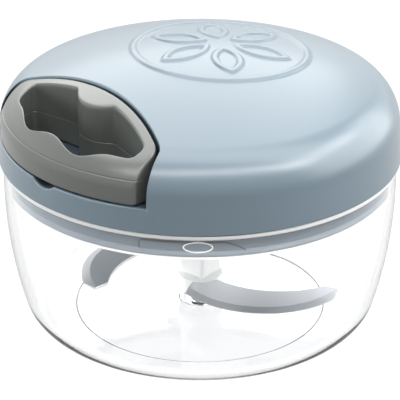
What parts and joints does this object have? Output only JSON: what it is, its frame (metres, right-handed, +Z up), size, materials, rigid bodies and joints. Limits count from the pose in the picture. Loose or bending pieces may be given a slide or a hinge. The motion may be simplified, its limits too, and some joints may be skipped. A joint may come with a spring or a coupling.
{
  "type": "pull-string food chopper",
  "caption": "Round hand chopper: clear bowl with a bladed rotor under a domed lid, whose nested pull handle draws a cord off a spring-wound spool to spin the blades.",
  "frame": {"origin": "centre of the bowl's base, on the surface that it stands on", "axes": "+Z up along the rotor's axis, -Y the way the handle pulls"},
  "size_m": [0.125, 0.125, 0.0883],
  "materials": {
    "clear_plastic": "clear moulded styrene, polished",
    "lid_plastic": "blue-grey moulded plastic, fine matt texture",
    "handle_plastic": "warm grey moulded plastic, satin",
    "white_plastic": "white moulded plastic",
    "bearing_plastic": "natural acetal",
    "clutch_plastic": "tough nylon",
    "silicone": "pale silicone",
    "steel": "bright steel",
    "blade_steel": "ground stainless sheet",
    "spring_steel": "blued spring strip",
    "brass": "turned",
    "cord": "braided nylon"
  },
  "bodies": {
    "bowl": {"bowl": "clear_plastic", "pivot_pin": "steel"},
    "rotor": {"rotor_hub": "white_plastic", "rotor_bush": "brass", "lower_blade": "blade_steel", "middle_blade": "blade_steel", "upper_blade": "blade_steel"},
    "lid": {"lid_cover": "lid_plastic", "lid_base": "lid_plastic", "plug_ring": "lid_plastic", "seal_ring": "silicone", "base_screws": "steel", "shaft_bush": "bearing_plastic", "thrust_washer": "steel", "cord_eyelet": "bearing_plastic", "spring_arbor": "bearing_plastic", "rewind_spring": "spring_steel"},
    "spool": {"cord_spool": "white_plastic", "cord_core": "cord", "cord_winding": "cord"},
    "drive": {"drive_shaft": "white_plastic", "clutch_pawl": "clutch_plastic", "spool_washer": "steel"},
    "handle": {"handle_lower": "handle_plastic", "handle_upper": "handle_plastic", "handle_screws": "steel", "cord_knot": "cord", "pull_cord": "cord"}
  },
  "joints": [
    {"name": "lid_lift", "type": "slide", "parent": "bowl", "child": "lid", "axis": [0, 0, 1], "range_m": [0, 0.1]},
    {"name": "handle_pull", "type": "slide", "parent": "lid", "child": "handle", "axis": [0, -1, 0], "range_m": [0, 0.36], "deforming": ["pull_cord"]},
    {"name": "spool_spin", "type": "hinge", "parent": "lid", "child": "spool", "pos_m": [0, 0, 0.066], "axis": [0, 0, -1], "range_deg": [0, 1243.7]},
    {"name": "drive_spin", "type": "hinge", "parent": "lid", "child": "drive", "pos_m": [0, 0, 0.06], "axis": [0, 0, -1], "range_deg": [0, 1243.7]},
    {"name": "rotor_spin", "type": "hinge", "parent": "bowl", "child": "rotor", "pos_m": [0, 0, 0.02], "axis": [0, 0, -1], "range_deg": [0, 1243.7]}
  ],
  "couplings": [
    {"joint": "spool_spin", "follows": "handle_pull", "rad_per_m": 60.27},
    {"joint": "drive_spin", "follows": "handle_pull", "rad_per_m": 60.27},
    {"joint": "rotor_spin", "follows": "handle_pull", "rad_per_m": 60.27}
  ]
}
